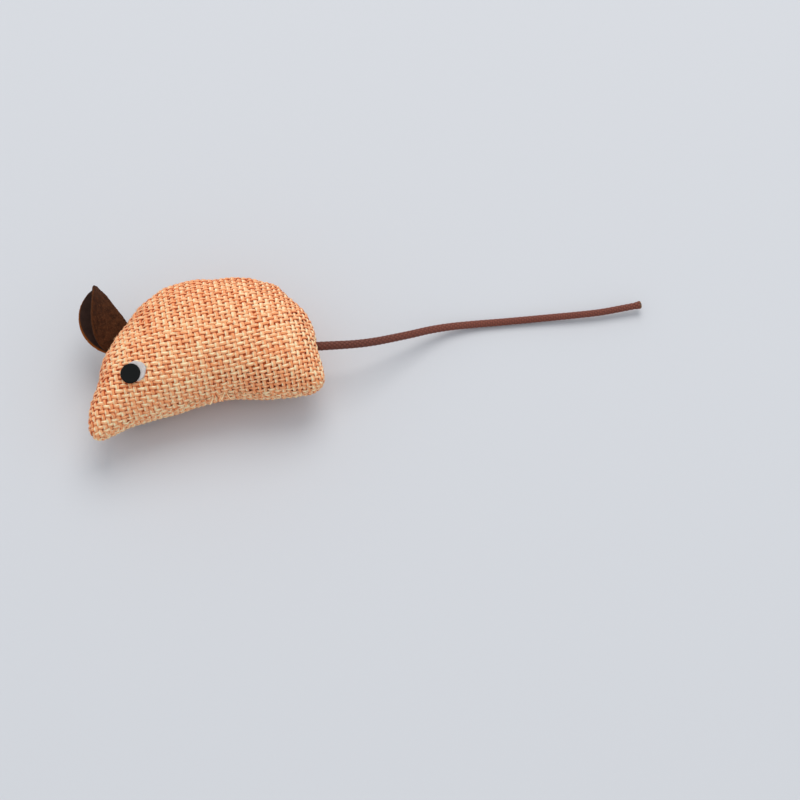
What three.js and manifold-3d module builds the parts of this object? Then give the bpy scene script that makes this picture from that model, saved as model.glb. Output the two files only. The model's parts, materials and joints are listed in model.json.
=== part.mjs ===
// Catnip mouse: a stuffed burlap toy lying on its side, with a folded felt
// ear, glued disc eyes and a satin cord tail caught in the rear seam.
// Millimetres, +Z up. Nose towards -X, tail towards +X, back towards +Y.

import * as THREE from 'three';
import { mergeVertices } from 'three/addons/utils/BufferGeometryUtils.js';
import Module from 'manifold-3d';

const wasm = await Module();
wasm.setup();

// Driving dimensions
const CLEARANCE = 0.3; // air left between pieces that touch
const BODY_LENGTH = 62; // nose to rump, along the seam
const BODY_DEPTH = 39; // belly to back, along the seam
const CROWN = 12.9; // height of each side panel over the seam
const REST_FLAT = 0.5; // how far the toy's own weight flattens the lower side
const NOSE_FULLNESS = 2.1; // larger fills the head out sooner
const RUMP_FULLNESS = 4.2; // larger keeps the rump thick for longer
const SIDE_FULLNESS = 2.3; // 2 is an ellipse across the body, more is boxier
const FABRIC = 0.9; // burlap thickness
const SEAM_ALLOWANCE = 5; // turned-in edge of each panel
const THREAD = 0.4; // sewing thread diameter
const CLOSING_LENGTH = 22; // belly gap sewn up after stuffing
const CLOSING_STITCHES = 9;
const CLOSING_PLACE = 0.58; // middle of the gap, as a share of the belly from chin to rump
const STITCH_RISE = 1.1; // a stitch reaches this far over and under the seam
const FELT = 0.7; // ear felt thickness
const EAR_RADIUS = 10.7; // the felt disc before folding
const EAR_CENTRE_OUT = 3.2; // disc centre outside the seam, along the fold
const EAR_BASE = 11.5; // length of seam that holds the ear
const EAR_LEAN = 24; // degrees, fold line away from square to the seam
const EAR_RISE = 8.5; // degrees, fold line upwards from the seam
const EAR_OPEN = 71; // degrees between the two leaves at the tip; the seam pinches them shut
const EAR_PLACE = 0.832; // share of the way round the seam
const EYE_DIAMETER = 5;
const EYE_THICKNESS = 0.8;
const EYE_ALONG = 0.25; // share of the panel from nose to rump
const EYE_UP = 0.39; // share of the panel from belly to back
const GLUE_THICKNESS = 0.35;
const GLUE_AFT = 1.2; // the glue spot sits off the eye's centre, towards the tail
const GLUE_UP = 0.5; // and towards the back
const TAIL_DIAMETER = 2.2;
const TAIL_PLACE = 0.4185; // share of the way round the seam
const TAIL_ROOT = 9.6; // first stretch, up to the bend
const EAR_PARTING = 1.6; // the seam edges stay parted this far past the ear
const TAIL_PARTING = 2.6; // and this far past the tail
const PARTING_TAPER = 5; // then close over this length
const CATNIP_SIZE = [17, 13, 9];
const CATNIP_PLACE = 34; // from the nose

const SEAM_HEIGHT = CROWN - REST_FLAT;
const TAIL_RADIUS = TAIL_DIAMETER / 2;

// Seam outline as shares of body length and depth, from the chin corner
// along the belly, up the rump, back along the spine and down to the nose.
// The four corners of the panel have names.
const OUTLINE = [
  [0.02, 0, 'chin'],
  [0.182, 0.062],
  [0.373, 0.098],
  [0.574, 0.128], // top of the belly arch
  [0.774, 0.059],
  [0.945, 0.033],
  [0.988, 0.082, 'lower rump'],
  [0.998, 0.2],
  [1, 0.354], // tail
  [0.985, 0.572],
  [0.919, 0.77],
  [0.876, 0.887, 'upper rump'],
  [0.705, 0.974],
  [0.473, 1], // top of the back
  [0.332, 0.923],
  [0.219, 0.774], // behind the ear
  [0.119, 0.585], // brow
  [0.055, 0.359],
  [0, 0.162, 'nose'],
];

const seam = new THREE.CatmullRomCurve3(
  OUTLINE.map(([along, up]) => new THREE.Vector3(along * BODY_LENGTH, up * BODY_DEPTH, 0)),
  true,
  'centripetal',
);
const STEPS_BETWEEN = 24;
seam.arcLengthDivisions = OUTLINE.length * STEPS_BETWEEN;
const seamLengths = seam.getLengths();
const SEAM_LENGTH = seamLengths[seamLengths.length - 1];

// Share of the way round the seam at which a named corner lies.
function placeOf(corner) {
  const point = OUTLINE.findIndex(([, , name]) => name === corner);
  return seamLengths[point * STEPS_BETWEEN] / SEAM_LENGTH;
}

function wrap(place) {
  return ((place % 1) + 1) % 1;
}

function seamFrame(place) {
  const at = seam.getPointAt(wrap(place));
  const along = seam.getTangentAt(wrap(place));
  const out = new THREE.Vector3(along.y, -along.x, 0);
  return { at, along, out };
}

function seamPoint(place, inset) {
  const { at, out } = seamFrame(place);
  return at.addScaledVector(out, -inset);
}

// Half the space between the two seam edges. It widens where the doubled
// ear felt and the tail cord pass between the panels.
function spread(place, centre, halfWidth, taper) {
  const turn = Math.abs(wrap(place - centre + 0.5) - 0.5);
  return 1 - THREE.MathUtils.smoothstep(turn * SEAM_LENGTH, halfWidth, halfWidth + taper);
}

function halfGap(place) {
  const closed = CLEARANCE / 2;
  const nearEar = spread(place, EAR_PLACE, EAR_BASE / 2 + EAR_PARTING, PARTING_TAPER);
  const nearTail = spread(place, TAIL_PLACE, TAIL_RADIUS + TAIL_PARTING, PARTING_TAPER);
  const ear = (FELT + 1.5 * CLEARANCE - closed) * nearEar;
  const tail = (TAIL_RADIUS + CLEARANCE - closed) * nearTail;
  return closed + ear + tail;
}

// Panel grid: along 0 is the nose edge and 1 the rump, up 0 is the belly and
// 1 the back. Steps are closer at the edges, where the fabric turns steeply.
const CELLS_ALONG = 24;
const CELLS_UP = 14;

function edgeSpaced(step, steps) {
  return (1 - Math.cos((Math.PI * step) / steps)) / 2;
}

const chin = placeOf('chin');
const lowerRump = placeOf('lower rump');
const upperRump = placeOf('upper rump');
const nose = placeOf('nose');
const bellyPlace = (along) => THREE.MathUtils.lerp(chin, lowerRump, along);
const rumpPlace = (up) => THREE.MathUtils.lerp(lowerRump, upperRump, up);
const backPlace = (along) => THREE.MathUtils.lerp(nose, upperRump, along);
const nosePlace = (up) => THREE.MathUtils.lerp(chin + 1, nose, up);

function edgePlace(along, up) {
  if (up === 0) return bellyPlace(along);
  if (up === 1) return backPlace(along);
  return along === 0 ? nosePlace(up) : rumpPlace(up);
}

// Point inside the seam outline, blended from its four sides.
function patchPoint(along, up, inset) {
  const point = new THREE.Vector3();
  point.addScaledVector(seamPoint(bellyPlace(along), inset), 1 - up);
  point.addScaledVector(seamPoint(backPlace(along), inset), up);
  point.addScaledVector(seamPoint(nosePlace(up), inset), 1 - along);
  point.addScaledVector(seamPoint(rumpPlace(up), inset), along);
  point.addScaledVector(seamPoint(chin, inset), -(1 - along) * (1 - up));
  point.addScaledVector(seamPoint(lowerRump, inset), -along * (1 - up));
  point.addScaledVector(seamPoint(nose, inset), -(1 - along) * up);
  point.addScaledVector(seamPoint(upperRump, inset), -along * up);
  return point;
}

function lengthwise(along) {
  return Math.sqrt((1 - (1 - along) ** NOSE_FULLNESS) * (1 - along ** RUMP_FULLNESS));
}

const SAMPLES = 100;
const samples = Array.from({ length: SAMPLES + 1 }, (_, step) => step / SAMPLES);
const fullest = Math.max(...samples.map(lengthwise));

function swell(along, up) {
  const across = Math.sqrt(1 - Math.abs(2 * up - 1) ** SIDE_FULLNESS);
  return (across * lengthwise(along)) / fullest;
}

// Point on a side panel, `depth` under its outer surface. The side is 1 for
// the upper panel and -1 for the lower one, which is flattened where it rests.
function panelPoint(side, along, up, depth, edge) {
  const point = patchPoint(along, up, depth);
  const height = edge + (CROWN - depth - edge) * swell(along, up);
  point.z = SEAM_HEIGHT + side * height;
  if (side < 0) point.z = Math.max(point.z, depth);
  return point;
}

// Grid steps of the closed line round the panel.
const ringSteps = [];
for (let i = 0; i < CELLS_ALONG; i += 1) ringSteps.push([i, 0]);
for (let j = 0; j < CELLS_UP; j += 1) ringSteps.push([CELLS_ALONG, j]);
for (let i = CELLS_ALONG; i > 0; i -= 1) ringSteps.push([i, CELLS_UP]);
for (let j = CELLS_UP; j > 0; j -= 1) ringSteps.push([0, j]);

const ringShares = ringSteps.map(([i, j]) => [edgeSpaced(i, CELLS_ALONG), edgeSpaced(j, CELLS_UP)]);

// Collects points and faces of one closed solid.
class Skin {
  constructor() {
    this.points = [];
    this.faces = [];
  }

  add(point) {
    this.points.push(point.x, point.y, point.z);
    return this.points.length / 3 - 1;
  }

  ring(points) {
    return points.map((point) => this.add(point));
  }

  quad(a, b, c, d) {
    this.faces.push(a, b, c, a, c, d);
  }

  // Faces between two closed rings of the same length.
  band(first, second) {
    first.forEach((corner, step) => {
      const next = (step + 1) % first.length;
      this.quad(corner, second[step], second[next], first[next]);
    });
  }

  // Sheet of grid faces; the ring gives the corner numbers of its outer edge.
  sheet(pointAt, upwards, ring) {
    const corners = new Map(ringSteps.map((steps, n) => [steps.join(), ring[n]]));
    const corner = (i, j) => {
      const key = [i, j].join();
      if (!corners.has(key)) {
        corners.set(key, this.add(pointAt(edgeSpaced(i, CELLS_ALONG), edgeSpaced(j, CELLS_UP))));
      }
      return corners.get(key);
    };
    for (let i = 0; i < CELLS_ALONG; i += 1) {
      for (let j = 0; j < CELLS_UP; j += 1) {
        const square = [corner(i, j), corner(i + 1, j), corner(i + 1, j + 1), corner(i, j + 1)];
        if (!upwards) square.reverse();
        this.quad(...square);
      }
    }
  }

  geometry(mirrored = false) {
    const faces = mirrored ? this.faces.toReversed() : this.faces;
    const geometry = new THREE.BufferGeometry();
    geometry.setAttribute('position', new THREE.Float32BufferAttribute(this.points, 3));
    geometry.setIndex(faces);
    return geometry;
  }
}

// Shares of the panel for a line drawn inwards from its edge. Near the nose,
// where the panel is narrow, the line stops short of the middle.
function inwards(along, up, distance) {
  const halfDepth = patchPoint(along, 0, 0).distanceTo(patchPoint(along, 1, 0)) / 2;
  return [
    THREE.MathUtils.lerp(along, 0.5, distance / (BODY_LENGTH / 2)),
    THREE.MathUtils.lerp(up, 0.5, 0.85 * Math.tanh(distance / halfDepth / 0.85)),
  ];
}

function panel(side) {
  const skin = new Skin();
  const edges = ringShares.map(([along, up]) => halfGap(edgePlace(along, up)));
  const edgeRing = (depth) => ringShares.map(([along, up], n) => {
    const point = patchPoint(along, up, depth);
    point.z = SEAM_HEIGHT + side * (edges[n] + depth);
    return point;
  });
  const cutRing = (depth) => ringShares.map(([along, up], n) => {
    const point = patchPoint(...inwards(along, up, SEAM_ALLOWANCE), 0);
    point.z = SEAM_HEIGHT + side * (edges[n] + depth);
    return point;
  });
  // the gap at the nearest edge fades into the closed gap over the panel
  const edgeOver = (along, up) => {
    const belly = halfGap(bellyPlace(along)) * (1 - up) ** 4;
    const back = halfGap(backPlace(along)) * up ** 4;
    const rump = halfGap(rumpPlace(up)) * along ** 12;
    return Math.max(CLEARANCE / 2, belly, back, rump);
  };
  const outer = skin.ring(edgeRing(0));
  const cutOutside = skin.ring(cutRing(0));
  const cutInside = skin.ring(cutRing(FABRIC));
  const inner = skin.ring(edgeRing(FABRIC));
  skin.sheet((along, up) => panelPoint(side, along, up, 0, edgeOver(along, up)), true, outer);
  skin.band(outer, cutOutside);
  skin.band(cutOutside, cutInside);
  skin.band(cutInside, inner);
  const lining = (along, up) => panelPoint(side, along, up, FABRIC, edgeOver(along, up) + FABRIC);
  skin.sheet(lining, false, inner);
  return skin.geometry(side < 0);
}

// Lens filling the whole body, `depth` under its outer surface.
function lens(depth) {
  const skin = new Skin();
  const edge = skin.ring(ringShares.map(([along, up]) => {
    const point = patchPoint(along, up, depth);
    point.z = SEAM_HEIGHT;
    return point;
  }));
  skin.sheet((along, up) => panelPoint(1, along, up, depth, 0), true, edge);
  skin.sheet((along, up) => panelPoint(-1, along, up, depth, 0), false, edge);
  return skin.geometry();
}

// Room kept free of stuffing for the turned-in edges, threads, ear and tail.
function seamRoom() {
  const skin = new Skin();
  const room = FABRIC + THREAD + 4 * CLEARANCE;
  const ring = (distance, side) => skin.ring(ringShares.map(([along, up]) => {
    const inset = distance > 0 ? 0 : distance;
    const shares = distance > 0 ? inwards(along, up, distance) : [along, up];
    const point = patchPoint(...shares, inset);
    point.z = SEAM_HEIGHT + side * (halfGap(edgePlace(along, up)) + room);
    return point;
  }));
  const reach = SEAM_ALLOWANCE + 2 * CLEARANCE;
  const rings = [ring(-1, 1), ring(-1, -1), ring(reach, -1), ring(reach, 1)];
  rings.forEach((first, step) => skin.band(first, rings[(step + 1) % rings.length]));
  return skin.geometry();
}

// Solids that are cut from one another
function solid(geometry) {
  const plain = geometry.clone();
  plain.deleteAttribute('normal');
  plain.deleteAttribute('uv');
  const merged = mergeVertices(plain, 1e-4);
  const corners = [];
  const index = merged.index.array;
  for (let n = 0; n < index.length; n += 3) {
    const [a, b, c] = [index[n], index[n + 1], index[n + 2]];
    if (a !== b && b !== c && c !== a) corners.push(a, b, c);
  }
  return new wasm.Manifold(new wasm.Mesh({
    numProp: 3,
    vertProperties: new Float32Array(merged.attributes.position.array),
    triVerts: new Uint32Array(corners),
  }));
}

function geometryOf(manifold) {
  const mesh = manifold.getMesh();
  const geometry = new THREE.BufferGeometry();
  geometry.setAttribute('position', new THREE.BufferAttribute(mesh.vertProperties, 3));
  geometry.setIndex(new THREE.BufferAttribute(mesh.triVerts, 1));
  return geometry;
}

function block(low, high) {
  const size = new THREE.Vector3().subVectors(high, low);
  const middle = new THREE.Vector3().addVectors(low, high).multiplyScalar(0.5);
  return new THREE.BoxGeometry(size.x, size.y, size.z).translate(middle.x, middle.y, middle.z);
}

// Places a geometry drawn along +Y with its Y axis along a direction.
function along(geometry, direction, at) {
  const turn = new THREE.Quaternion().setFromUnitVectors(new THREE.Vector3(0, 1, 0), direction);
  return geometry.applyQuaternion(turn).translate(at.x, at.y, at.z);
}

function cord(points, radius, sides, steps) {
  const section = new THREE.Shape();
  for (let side = 0; side < sides; side += 1) {
    const angle = ((side + 0.5) / sides) * 2 * Math.PI;
    const corner = [radius * Math.cos(angle), radius * Math.sin(angle)];
    if (side === 0) section.moveTo(...corner);
    else section.lineTo(...corner);
  }
  section.closePath();
  const route = new THREE.CatmullRomCurve3(points, false, 'centripetal');
  return new THREE.ExtrudeGeometry(section, { steps, extrudePath: route });
}

// Stuffing in two wads, hollowed where they meet for the catnip
const catnip = new THREE.IcosahedronGeometry(0.5, 2);
const catnipRoom = catnip.clone();
const catnipAt = new THREE.Vector3(CATNIP_PLACE, 0.5 * BODY_DEPTH, SEAM_HEIGHT);
catnip.scale(...CATNIP_SIZE).translate(...catnipAt);
catnipRoom.scale(...CATNIP_SIZE.map((size) => size + 2 * CLEARANCE)).translate(...catnipAt);

const filling = solid(lens(FABRIC + 1.5 * CLEARANCE)).subtract(solid(seamRoom()));
const hollowed = filling.subtract(solid(catnipRoom));

function wad(from, to) {
  const low = new THREE.Vector3(from, -BODY_DEPTH, -BODY_DEPTH);
  const high = new THREE.Vector3(to, 2 * BODY_DEPTH, 2 * BODY_DEPTH);
  return geometryOf(hollowed.intersect(solid(block(low, high))));
}

const frontWad = wad(-BODY_LENGTH, CATNIP_PLACE - CLEARANCE / 2);
const rearWad = wad(CATNIP_PLACE + CLEARANCE / 2, 2 * BODY_LENGTH);

// Lockstitch: one thread over the upper turned-in edge, one under the lower,
// from one end of the closing gap round to the other.
const closingMiddle = bellyPlace(CLOSING_PLACE);
const closingHalf = CLOSING_LENGTH / 2 / SEAM_LENGTH;

function seamThread(side) {
  const turns = ringShares.map(([along, up]) => wrap(edgePlace(along, up) - closingMiddle));
  const sewn = turns.filter((turn) => turn > closingHalf && turn < 1 - closingHalf);
  const points = sewn.sort((first, second) => first - second).map((turn) => {
    const place = closingMiddle + turn;
    const point = seamPoint(place, FABRIC + THREAD + 3 * CLEARANCE);
    point.z = SEAM_HEIGHT + side * (halfGap(place) + FABRIC + CLEARANCE + THREAD / 2);
    return point;
  });
  return cord(points, THREAD / 2, 6, points.length);
}

// Ladder stitches outside the belly seam, crossing from panel to panel.
function closingThread() {
  const points = [];
  for (let stitch = 0; stitch <= 2 * CLOSING_STITCHES; stitch += 1) {
    const share = stitch / (2 * CLOSING_STITCHES);
    const place = closingMiddle + THREE.MathUtils.lerp(-closingHalf, closingHalf, share);
    const point = seamPoint(place, -(CLEARANCE + THREAD / 2));
    point.z = SEAM_HEIGHT + (stitch % 2 ? 1 : -1) * STITCH_RISE;
    points.push(point);
  }
  return cord(points, THREAD / 2, 6, 4 * CLOSING_STITCHES);
}

// Eyes: a flat black disc on a spot of glue, one on each panel.
const bodyAndAir = solid(lens(-CLEARANCE));

function eyeFrame(side) {
  const step = 0.01;
  const at = panelPoint(side, EYE_ALONG, EYE_UP, 0, CLEARANCE / 2);
  const forward = panelPoint(side, EYE_ALONG + step, EYE_UP, 0, CLEARANCE / 2).sub(at);
  const upward = panelPoint(side, EYE_ALONG, EYE_UP + step, 0, CLEARANCE / 2).sub(at);
  const out = new THREE.Vector3().crossVectors(forward, upward).multiplyScalar(side).normalize();
  const back = upward.addScaledVector(out, -upward.dot(out)).normalize();
  const tail = forward.addScaledVector(out, -forward.dot(out)).normalize();
  return { at, out, back, tail };
}

function eyeGlue(side) {
  const { at, out, back, tail } = eyeFrame(side);
  const height = 4 * GLUE_THICKNESS;
  const top = CLEARANCE + GLUE_THICKNESS;
  const middle = at.clone().addScaledVector(out, top - height / 2);
  middle.addScaledVector(tail, GLUE_AFT).addScaledVector(back, GLUE_UP);
  const spot = new THREE.CylinderGeometry(EYE_DIAMETER / 2, EYE_DIAMETER / 2, height, 24);
  return geometryOf(solid(along(spot, out, middle)).subtract(bodyAndAir));
}

function eye(side) {
  const { at, out } = eyeFrame(side);
  const radius = EYE_DIAMETER / 2;
  const bevel = EYE_THICKNESS / 3;
  const profile = [
    new THREE.Vector2(0, 0),
    new THREE.Vector2(radius, 0),
    new THREE.Vector2(radius, EYE_THICKNESS - bevel),
    new THREE.Vector2(radius - bevel, EYE_THICKNESS),
    new THREE.Vector2(0, EYE_THICKNESS),
  ];
  const seat = at.clone().addScaledVector(out, 2 * CLEARANCE + GLUE_THICKNESS);
  return along(new THREE.LatheGeometry(profile, 28), out, seat);
}

// Ear: a felt disc folded in half across a diameter. The two leaves are
// pinched together by the seam and spring apart towards the rim.
const earSeam = seamFrame(EAR_PLACE);
const EAR_SLIT = 0.2; // air between the leaves where they are pinched
const EAR_ROLL = FELT + EAR_SLIT / 2;
const EAR_HINGE_OUT = EAR_ROLL - CLEARANCE; // hinge line outside the seam
const earHinge = earSeam.at.clone().addScaledVector(earSeam.out, EAR_HINGE_OUT);
earHinge.z = SEAM_HEIGHT;

const lean = THREE.MathUtils.degToRad(EAR_LEAN);
const rise = THREE.MathUtils.degToRad(EAR_RISE);
const straightUp = new THREE.Vector3(0, 0, 1);
const foldLine = earSeam.out.clone().multiplyScalar(Math.cos(lean));
foldLine.addScaledVector(earSeam.along, -Math.sin(lean));
foldLine.multiplyScalar(Math.cos(rise)).addScaledVector(straightUp, Math.sin(rise));
const leafLine = earSeam.along.clone().multiplyScalar(Math.cos(lean));
leafLine.addScaledVector(earSeam.out, Math.sin(lean));
const leafUp = foldLine.clone().cross(leafLine);
const foldBase = earHinge.clone().addScaledVector(earSeam.along, -EAR_BASE / 2);

// Section across the fold, as pairs of outside and inside corners running
// from the lower leaf's rim round the fold to the upper leaf's rim.
function earSection(along) {
  const reach = along - EAR_CENTRE_OUT;
  const width = Math.sqrt(Math.max(EAR_RADIUS ** 2 - reach ** 2, 1));
  const at = (across, height) => foldBase.clone()
    .addScaledVector(foldLine, along)
    .addScaledVector(leafLine, across)
    .addScaledVector(leafUp, height);
  const pairs = [];
  const pair = (across, angle) => {
    const ahead = new THREE.Vector2(Math.sin(angle), -Math.cos(angle)).multiplyScalar(across);
    const away = new THREE.Vector2(Math.cos(angle), Math.sin(angle));
    const outside = ahead.clone().addScaledVector(away, EAR_ROLL);
    const inside = ahead.addScaledVector(away, EAR_SLIT / 2);
    pairs.push([at(outside.x, outside.y), at(inside.x, inside.y)]);
  };
  const below = 1.5 * Math.PI;
  const above = (across) => {
    const fromSeam = along * Math.cos(lean) + across * Math.sin(lean);
    const open = (EAR_OPEN * Math.max(0, fromSeam)) / (EAR_CENTRE_OUT + EAR_RADIUS);
    return 0.5 * Math.PI + THREE.MathUtils.degToRad(open);
  };
  for (const share of [1, 0.5, 0]) pair(-width * share, below);
  for (const share of [0.25, 0.5, 0.75]) pair(0, THREE.MathUtils.lerp(below, above(0), share));
  for (const share of [0, 0.33, 0.67, 1]) pair(width * share, above(width * share));
  return pairs;
}

function ear() {
  const skin = new Skin();
  const first = -EAR_BASE / 2;
  const last = EAR_CENTRE_OUT + EAR_RADIUS * 0.985;
  const stations = 12;
  const rings = [];
  for (let station = 0; station <= stations; station += 1) {
    const share = Math.sin((Math.PI / 2) * (station / stations));
    const pairs = earSection(THREE.MathUtils.lerp(first, last, share));
    const outside = pairs.map(([corner]) => skin.add(corner));
    const inside = pairs.map(([, corner]) => skin.add(corner));
    rings.push([...outside, ...inside.reverse()]);
  }
  const count = rings[0].length;
  for (let station = 0; station < stations; station += 1) skin.band(rings[station], rings[station + 1]);
  for (let step = 0; step < count / 2 - 1; step += 1) {
    const cap = [step, step + 1, count - 2 - step, count - 1 - step];
    skin.quad(...cap.map((corner) => rings[0][corner]));
    skin.quad(...cap.toReversed().map((corner) => rings[stations][corner]));
  }
  const folded = solid(skin.geometry());
  const far = 2 * BODY_LENGTH;
  const outside = earHinge.clone().addScaledVector(earSeam.out, far / 2);
  const keep = along(new THREE.BoxGeometry(far, far, far), earSeam.out, outside);
  const roll = along(new THREE.CylinderGeometry(EAR_ROLL, EAR_ROLL, EAR_BASE, 12), earSeam.along, earHinge);
  return geometryOf(folded.intersect(solid(keep)).add(solid(roll)));
}

function earTab() {
  const outer = EAR_HINGE_OUT - EAR_ROLL - CLEARANCE;
  const inner = -(SEAM_ALLOWANCE - CLEARANCE);
  const depth = outer - inner;
  const middle = earSeam.at.clone().addScaledVector(earSeam.out, (outer + inner) / 2);
  middle.z = SEAM_HEIGHT;
  const tab = new THREE.BoxGeometry(EAR_BASE, depth, 2 * FELT);
  const turn = new THREE.Matrix4().makeBasis(
    earSeam.along.clone().negate(),
    earSeam.out.clone(),
    straightUp,
  );
  return tab.applyMatrix4(turn).translate(...middle);
}

// Tail: the sewn-in end, a first stretch that swings at the seam, and the
// rest of the cord, which droops to the surface that the mouse lies on.
const tailSeam = seamFrame(TAIL_PLACE);
const swingPivot = tailSeam.at.clone().setZ(SEAM_HEIGHT);

// Route from the seam: ahead, across, and the share of the seam height left.
const TAIL_ROUTE = [
  [0, 0, 1],
  [9.6, -0.8, 0.905],
  [14.8, -0.4, 0.75],
  [20.0, 0.9, 0.575],
  [25.4, 2.1, 0.4],
  [30.7, 3.3, 0.24],
  [36.6, 4.0, 0.1],
  [43.6, 3.8, 0.02],
  [51.2, 3.1, 0],
  [58.7, 2.3, 0],
  [65.0, 1.6, 0],
  [71.2, 0.8, 0],
  [77.6, 0.3, 0],
  [84.0, 0.1, 0],
  [89.0, 0.2, 0],
];
const TAIL_REST = TAIL_RADIUS + 0.05;
const tailPoints = TAIL_ROUTE.map(([ahead, across, share]) => new THREE.Vector3(
  swingPivot.x + ahead,
  swingPivot.y + across,
  THREE.MathUtils.lerp(TAIL_REST, SEAM_HEIGHT, share),
));
const rootLine = tailPoints[1].clone().sub(tailPoints[0]).normalize();
const liftPivot = swingPivot.clone().addScaledVector(rootLine, TAIL_ROOT);

function tailRoot() {
  const middle = swingPivot.clone().add(liftPivot).multiplyScalar(0.5);
  return along(new THREE.CapsuleGeometry(TAIL_RADIUS, TAIL_ROOT, 3, 8), rootLine, middle);
}

function tailCord() {
  const start = TAIL_RADIUS + CLEARANCE;
  const heading = tailPoints[2].clone().sub(liftPivot).normalize();
  const points = [liftPivot.clone().addScaledVector(heading, start), ...tailPoints.slice(2)];
  return cord(points, TAIL_RADIUS, 8, 24);
}

function tailSeamEnd() {
  const outer = TAIL_RADIUS + CLEARANCE;
  const inner = SEAM_ALLOWANCE;
  const middle = swingPivot.clone().addScaledVector(tailSeam.out, -(outer + inner) / 2);
  const stub = new THREE.CylinderGeometry(TAIL_RADIUS, TAIL_RADIUS, inner - outer, 8);
  return along(stub, tailSeam.out, middle);
}

// Assembly
const burlap = new THREE.MeshStandardMaterial({ color: '#daa06f', roughness: 0.95, metalness: 0 });
const fibre = new THREE.MeshStandardMaterial({ color: '#efece6', roughness: 1, metalness: 0 });
const herb = new THREE.MeshStandardMaterial({ color: '#76804a', roughness: 1, metalness: 0 });
const sewing = new THREE.MeshStandardMaterial({ color: '#c99765', roughness: 0.8, metalness: 0 });
const felt = new THREE.MeshStandardMaterial({ color: '#402619', roughness: 1, metalness: 0 });
const plastic = new THREE.MeshStandardMaterial({ color: '#1f201f', roughness: 0.6, metalness: 0 });
const glue = new THREE.MeshStandardMaterial({ color: '#cfc4c6', roughness: 0.35, metalness: 0 });
const satin = new THREE.MeshStandardMaterial({ color: '#6b4034', roughness: 0.5, metalness: 0 });

const pieces = [
  ['upper_panel', panel(1), burlap],
  ['lower_panel', panel(-1), burlap],
  ['stuffing_front', frontWad, fibre],
  ['stuffing_rear', rearWad, fibre],
  ['catnip_fill', catnip, herb],
  ['needle_thread', seamThread(1), sewing],
  ['bobbin_thread', seamThread(-1), sewing],
  ['closing_thread', closingThread(), sewing],
  ['ear', ear(), felt],
  ['ear_seam_tab', earTab(), felt],
  ['eye_upper', eye(1), plastic],
  ['eye_lower', eye(-1), plastic],
  ['eye_glue_upper', eyeGlue(1), glue],
  ['eye_glue_lower', eyeGlue(-1), glue],
  ['tail_seam_end', tailSeamEnd(), satin],
  ['tail_root', tailRoot(), satin],
  ['tail_cord', tailCord(), satin],
];

// Origin under the middle of the mouse, on the surface that it lies on
const outside = new THREE.Box3();
for (const [name, geometry] of pieces) {
  if (['tail_root', 'tail_cord'].includes(name)) continue;
  geometry.computeBoundingBox();
  outside.union(geometry.boundingBox);
}
const middle = outside.getCenter(new THREE.Vector3());

const mouse = new THREE.Group();
mouse.name = 'catnip_mouse';
for (const [name, geometry, material] of pieces) {
  const mesh = new THREE.Mesh(geometry.translate(-middle.x, -middle.y, -outside.min.z), material);
  mesh.name = name;
  mouse.add(mesh);
}

export default mouse;
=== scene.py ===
import json
import math

import bpy
import numpy as np
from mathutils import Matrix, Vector, noise


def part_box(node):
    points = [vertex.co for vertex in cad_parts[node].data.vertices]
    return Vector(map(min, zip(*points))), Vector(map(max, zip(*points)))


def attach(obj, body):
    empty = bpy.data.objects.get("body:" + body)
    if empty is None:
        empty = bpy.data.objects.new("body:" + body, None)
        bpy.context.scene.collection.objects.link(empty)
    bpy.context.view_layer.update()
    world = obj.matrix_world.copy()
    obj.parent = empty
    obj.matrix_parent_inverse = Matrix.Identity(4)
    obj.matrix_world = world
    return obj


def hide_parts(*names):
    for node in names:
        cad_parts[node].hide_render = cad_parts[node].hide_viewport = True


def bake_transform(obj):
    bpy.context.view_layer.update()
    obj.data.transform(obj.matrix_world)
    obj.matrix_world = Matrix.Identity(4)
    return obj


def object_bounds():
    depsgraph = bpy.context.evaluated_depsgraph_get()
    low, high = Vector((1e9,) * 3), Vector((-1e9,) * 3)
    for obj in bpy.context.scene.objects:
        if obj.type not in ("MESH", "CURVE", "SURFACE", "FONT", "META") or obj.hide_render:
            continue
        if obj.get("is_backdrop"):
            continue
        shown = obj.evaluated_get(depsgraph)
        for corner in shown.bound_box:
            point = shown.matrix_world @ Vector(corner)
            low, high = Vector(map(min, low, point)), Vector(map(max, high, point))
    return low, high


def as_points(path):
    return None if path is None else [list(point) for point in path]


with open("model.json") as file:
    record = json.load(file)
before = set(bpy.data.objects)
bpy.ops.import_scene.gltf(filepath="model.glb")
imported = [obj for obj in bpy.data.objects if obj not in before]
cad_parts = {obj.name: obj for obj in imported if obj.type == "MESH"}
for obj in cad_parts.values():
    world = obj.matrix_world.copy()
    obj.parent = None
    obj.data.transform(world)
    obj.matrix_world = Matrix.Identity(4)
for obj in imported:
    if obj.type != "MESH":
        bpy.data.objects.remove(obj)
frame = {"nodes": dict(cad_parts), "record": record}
solid_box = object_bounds()

# Side panels
# Two pieces of coarse burlap cut to one outline and sewn together all round,
# then turned and stuffed. The mouse lies on its side, so the seam runs at half height.
MM = 0.001
BODY_LENGTH = 62 * MM
BODY_DEPTH = 39 * MM
CROWN = 12.9 * MM  # height of each panel over the seam
NOSE_FULLNESS = 2.1  # larger fills the head out sooner
RUMP_FULLNESS = 4.2  # larger keeps the rump thick for longer
SIDE_FULLNESS = 2.3  # 2 is an ellipse across the body, more is boxier
RESTING_FULLNESS = 3.0  # the side it lies on is pressed fuller by the weight
WEAVE_DEPTH = 0.5 * MM  # the middle of the cloth lies this far under its outer surface
CELLS_ALONG = 84
CELLS_UP = 58

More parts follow.
